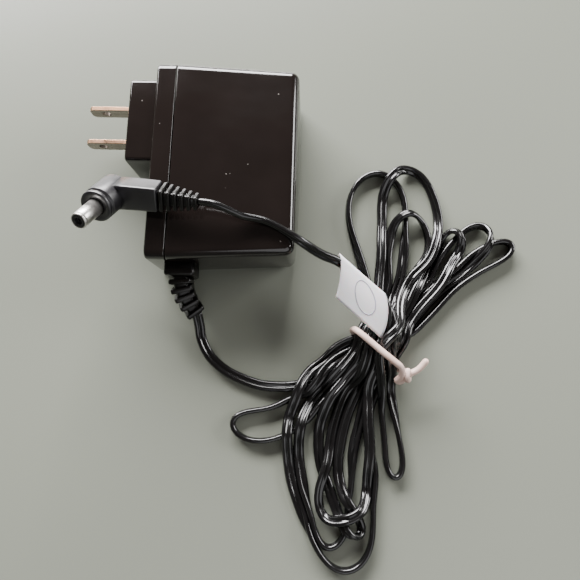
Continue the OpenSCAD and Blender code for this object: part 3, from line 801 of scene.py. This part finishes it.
def make_barrel(nickel, insulator):
    """The bright sleeve with its turned ring, and the black insulator round the centre contact."""
    radius, length = SLEEVE
    tip = COLLAR + length
    inner = radius - 0.45
    sleeve = lathe([(inner, COLLAR - 0.7), (radius, COLLAR - 0.7), (radius, tip - 1.5),
                    (radius - 0.08, tip - 1.4), (radius - 0.08, tip - 1.2), (radius, tip - 1.1),
                    (radius, tip - 0.5),
                    (radius - 0.08, tip - 0.3), (radius - 0.25, tip - 0.15), (inner + 0.05, tip - 0.12),
                    (inner, tip - 0.2), (inner, COLLAR - 0.7)], 96)
    metal = add_mesh("barrel_sleeve", *placed(sleeve, plug_place()), nickel, "nickel")
    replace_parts(metal, "plug_sleeve")
    hole = 1.25
    core = lathe([(hole, COLLAR - 0.5), (inner - 0.03, COLLAR - 0.5), (inner - 0.03, tip - 0.2),
                  (inner - 0.25, tip - 0.02), (hole + 0.25, tip - 0.02), (hole, tip - 0.25),
                  (hole, COLLAR - 0.5)], 72)
    black = add_mesh("barrel_insulator", *placed(core, plug_place()), insulator, "insulator")
    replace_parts(black, "plug_insulator")
    return metal, black


# ---------------------------------------------------------------- the casing

CASE_HALF_Y, CASE_Z = 35, 27.5
EDGE, WALL = 3, 2
SEAM_X = -5
TAPER, BULGE = 2.5, 1.6


def casing_ring(x_at, half_y, low_z, high_z, radius):
    """A rounded outline across the casing. x_at gives each point's X from its Y."""
    outline = rounded_rect(2 * half_y, high_z - low_z, max(radius, 0.05), 8)
    middle = (low_z + high_z) / 2
    return [(x_at(y), y, z + middle) for y, z in outline]


def cup(mouth_x, end_x, half_y, end_half_y, end_round, bow, wall):
    """A hollow moulding from its mouth at the seam to its closed end, inside walls included."""
    way = 1 if end_x > mouth_x else -1

    def ring(share_x, inset, lean=0.0, radius=EDGE):
        spread = half_y + (end_half_y - half_y) * share_x
        return casing_ring(lambda y: mouth_x + (end_x - mouth_x) * share_x + way * lean
                           - way * bow * share_x * (y / half_y) ** 2,
                           spread - inset, inset, CASE_Z - inset, radius - min(inset, radius))

    depth = abs(end_x - mouth_x)
    shoulder = 1 - end_round / depth
    outer = [ring(0, 0.45, 0.12), ring(0, 0.16, 0.16), ring(0, 0.02, 0.32), ring(0, 0, 0.5)]
    outer += [ring(shoulder * k / 6, 0) for k in range(1, 7)]
    for degrees in range(10, 91, 10):
        a = math.radians(degrees)
        outer.append(ring(shoulder, end_round * (1 - math.cos(a)), end_round * math.sin(a)))
    face_x = outer[-1]
    middle = np.mean(face_x, axis=0)
    face = []
    for k in (0.85, 0.65, 0.45, 0.25, 0.08):
        face.append([(mouth_x + (end_x - mouth_x) - way * bow * (y * k / half_y) ** 2, y * k,
                      middle[2] + (z - middle[2]) * k) for _, y, z in face_x])
    floor = 1 - (wall + bow + 0.2) / depth
    inner = [ring(floor, wall), ring(floor * 0.5, wall), ring(0, wall, 0.12)]
    return loft(inner + outer + face)


def make_casing(material):
    rear = add_mesh("rear_moulding", *cup(SEAM_X, node_box("rear_shell")[1][0], CASE_HALF_Y,
                    CASE_HALF_Y - TAPER, EDGE, BULGE, WALL), material, "casing")
    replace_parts(rear, "rear_shell")
    rim_x = SEAM_X - 7
    cover = cup(SEAM_X, rim_x, CASE_HALF_Y, CASE_HALF_Y, 0.9, 0, WALL)
    face_x, boss_y, boss_z, middle_y = rim_x - 9.5, 30, 24.5, 14
    boss = []
    for x, inset in ((face_x, 0.8), (face_x + 0.06, 0.45), (face_x + 0.25, 0.2), (face_x + 0.5, 0.05),
                     (face_x + 0.8, 0), (rim_x - 0.5, 0), (rim_x + 1, 0)):
        outline = rounded_rect(boss_y - 2 * inset, boss_z - 2 * inset, 1.4, 6)
        boss.append([(x, middle_y + y, CASE_Z / 2 + z) for y, z in outline])
    front = add_mesh("front_moulding", *join_parts([cover, loft(boss)]), material, "casing")
    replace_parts(front, "front_cover")
    return rear, front


def make_blade(name, node, nickel, brass):
    """A stamped blade: plated broad faces, bare sheared edges, a hole and a slanting nose."""
    (low_x, low_y, low_z), (high_x, high_y, high_z) = node_box(node)
    nose, hole_x, hole_r = 1.2, low_x + 5.8, 1.6
    middle_z = (low_z + high_z) / 2
    outline = [(high_x, low_z), (high_x, high_z), (low_x + nose, high_z),
               (low_x + 0.3, high_z - nose * 0.75), (low_x, high_z - nose * 1.3),
               (low_x, low_z + nose * 1.3), (low_x + 0.3, low_z + nose * 0.75), (low_x + nose, low_z)]
    hole = [(hole_x + hole_r * math.cos(a), middle_z + hole_r * math.sin(a))
            for a in np.arange(40) * 2 * math.pi / 40]
    work = bmesh.new()
    for loop in (outline, hole):
        corners = [work.verts.new((x * MM, low_y * MM, z * MM)) for x, z in loop]
        for a, b in zip(corners, corners[1:] + corners[:1]):
            work.edges.new((a, b))
    bmesh.ops.triangle_fill(work, use_beauty=True, edges=work.edges[:])
    out = bmesh.ops.extrude_face_region(work, geom=work.faces[:])
    moved = [v for v in out["geom"] if isinstance(v, bmesh.types.BMVert)]
    bmesh.ops.translate(work, verts=moved, vec=(0, (high_y - low_y) * MM, 0))
    bmesh.ops.recalc_face_normals(work, faces=work.faces)
    hole_middle = Vector((hole_x, 0, middle_z)) * MM
    for face in work.faces:
        from_hole = face.calc_center_median() - hole_middle
        in_hole = math.hypot(from_hole.x, from_hole.z) < (hole_r + 0.1) * MM
        face.material_index = 0 if abs(face.normal.y) > 0.7 or in_hole else 1
    mesh = bpy.data.meshes.new(name)
    work.to_mesh(mesh)
    work.free()
    mesh.shade_smooth()
    blade = bpy.data.objects.new(name, mesh)
    bpy.context.scene.collection.objects.link(blade)
    mesh.materials.append(nickel)
    mesh.materials.append(brass)
    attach(blade, BODY)
    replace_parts(blade, node)
    return soften(blade, 0.16, 2)


# ---------------------------------------------------------------- the casing's strain relief

RELIEF_X, RELIEF_Y, RELIEF_Z = -1.5, -39.2, 13.75


def relief_centre(s):
    """The relief's own line: it droops and swings toward +X."""
    return np.array((RELIEF_X + 4.9 * s * s, RELIEF_Y - 11.6 * s, RELIEF_Z - 6.2 * s * s))


def make_strain_relief(material):
    collar = []
    for y, inset in ((-CASE_HALF_Y + 1, 0), (RELIEF_Y + 0.8, 0), (RELIEF_Y + 0.35, 0.12),
                     (RELIEF_Y + 0.08, 0.4), (RELIEF_Y, 0.8)):
        outline = rounded_rect(10.6 - 2 * inset, 11 - 2 * inset, 1.2, 5)
        collar.append([(RELIEF_X + a, y, RELIEF_Z + b) for a, b in outline])
    parts = [loft(collar)]
    core = []
    for s in np.linspace(-0.05, 1, 16):
        forward = unit(relief_centre(s + 0.01) - relief_centre(s - 0.01))
        side = unit(np.cross(forward, (0, 0, 1)))
        over = np.cross(side, forward)
        core.append([relief_centre(s) + side * a + over * b
                     for a, b in rounded_rect(5.2 - 0.9 * s, 5.2 - 2.2 * s, 1.2, 5)])
    parts.append(loft(core))
    ribs = 5
    for i in range(ribs):
        s = (i + 0.62) / ribs
        forward = relief_centre(s + 0.01) - relief_centre(s - 0.01)
        parts.append(rib(relief_centre(s), forward, (0, 0, 1), (7.9 - 0.25 * i, 7.6 - 0.4 * i), 1.75, 0.9))
    relief = add_mesh("case_relief_ribs", *join_parts(parts), material, "relief_black")
    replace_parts(relief, "strain_relief")
    return relief


# ---------------------------------------------------------------- inner parts

def paint_node(node, material):
    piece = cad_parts[node]
    piece.data.materials.clear()
    piece.data.materials.append(material)


def paint_inner_parts():
    """Finishes for the parts that the closed casing hides."""
    black = mottled("black_epoxy", (0.012, 0.012, 0.013), (0.02, 0.02, 0.022), 260, (0.35, 0.5))
    ferrite = mottled("ferrite", (0.03, 0.03, 0.032), (0.055, 0.055, 0.058), 500, (0.55, 0.75),
                      bump_mm=0.05)
    copper = brushed_metal("copper_wire", (0.45, 0.16, 0.06), (0.75, 0.32, 0.14), (0.25, 0.4), (1, 1, 0.02))
    tinned = brushed_metal("tinned_wire", (0.55, 0.55, 0.54), (0.78, 0.78, 0.77), (0.2, 0.35), (1, 1, 0.1))
    finishes = {
        "blade_retainer": mottled("inner_abs", (0.62, 0.58, 0.48), (0.72, 0.67, 0.56), 120, (0.4, 0.55)),
        "mains_leads": mottled("wire_red", (0.3, 0.03, 0.02), (0.42, 0.05, 0.035), 300, (0.3, 0.45)),
        "circuit_board": mottled("board_laminate", (0.035, 0.12, 0.03), (0.06, 0.17, 0.05), 90, (0.3, 0.5)),
        "fuse": mottled("fuse_ceramic", (0.42, 0.33, 0.17), (0.55, 0.44, 0.25), 200, (0.3, 0.5)),
        "input_capacitor": mottled("capacitor_blue", (0.012, 0.025, 0.09), (0.02, 0.04, 0.13), 150,
                                   (0.2, 0.35)),
        "output_capacitors": mottled("capacitor_green", (0.008, 0.06, 0.035), (0.014, 0.085, 0.05), 150,
                                     (0.2, 0.35)),
        "heat_sink": brushed_metal("sink_aluminium", (0.6, 0.61, 0.62), (0.78, 0.79, 0.8), (0.3, 0.45),
                                   (0.05, 1, 1)),
        "transformer_tape": mottled("tape_yellow", (0.7, 0.55, 0.08), (0.8, 0.65, 0.14), 160, (0.25, 0.4)),
        "optocoupler": mottled("opto_white", (0.72, 0.7, 0.64), (0.8, 0.78, 0.73), 260, (0.35, 0.5)),
        "safety_capacitor": mottled("disc_blue", (0.03, 0.14, 0.4), (0.05, 0.2, 0.5), 200, (0.25, 0.4)),
    }
    for names, material in (
            (("bridge_rectifier", "switch_transistor", "transformer_bobbin", "output_diode",
              "reference_ic"), black),
            (("input_choke_core", "transformer_core", "output_choke"), ferrite),
            (("input_choke_winding", "transformer_winding"), copper),
            (("transformer_pins", "output_leads", "plug_contact"), tinned)):
        finishes.update(dict.fromkeys(names, material))
    for node, material in finishes.items():
        paint_node(node, material)


# ---------------------------------------------------------------- assembly

make_camera()
cord, cord_path = make_cord(cord_material())
casing = casing_material()
make_casing(casing)
relief_black = relief_material()
ALONG_X, ALONG_Z = (0.02, 1, 1), (1, 1, 0.02)
nickel = brushed_metal("nickel_plate", (0.62, 0.60, 0.57), (0.82, 0.80, 0.77), (0.32, 0.42), ALONG_Z)
blade_nickel = brushed_metal("blade_nickel", (0.19, 0.165, 0.14), (0.29, 0.25, 0.21), (0.22, 0.36), ALONG_X)
blade_brass = brushed_metal("blade_brass", (0.62, 0.34, 0.20), (0.80, 0.50, 0.33), (0.25, 0.4), ALONG_X)
make_blade("upper_blade", "line_blade", blade_nickel, blade_brass)
make_blade("lower_blade", "neutral_blade", blade_nickel, blade_brass)
plug_black = moulding_material()
insulator = mottled("insulator_black", (0.008, 0.008, 0.008), (0.014, 0.013, 0.013), 400, (0.3, 0.45))
tie_plastic = mottled("tie_plastic", (0.72, 0.50, 0.42), (0.82, 0.62, 0.55), 160, (0.32, 0.5), bump_mm=0.05)
pen_ink = mottled("pen_ink", (0.33, 0.31, 0.40), (0.45, 0.42, 0.50), 600, (0.5, 0.65))
cord_pieces = [
    make_strain_relief(relief_black),
    make_plug_body(plug_black),
    make_plug_relief(relief_black),
    *make_barrel(nickel, insulator),
    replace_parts(make_tie(tie_plastic, cord_path), "twist_tie"),
    *make_tag(paper_material(), pen_ink),
    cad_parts["plug_contact"],
]
paint_inner_parts()

make_world()
make_floor()
area_light("window", (-0.25, 0.75, 0.42), 0.95, 0.45, 48, (1.0, 0.985, 0.985))
area_light("side_window", (0.95, 0.3, 0.45), 0.6, 0.3, 9, (1.0, 0.99, 0.985))
area_light("fill", (0.5, -0.9, 0.9), 1.2, 1.0, 5, (0.97, 0.98, 1.0))
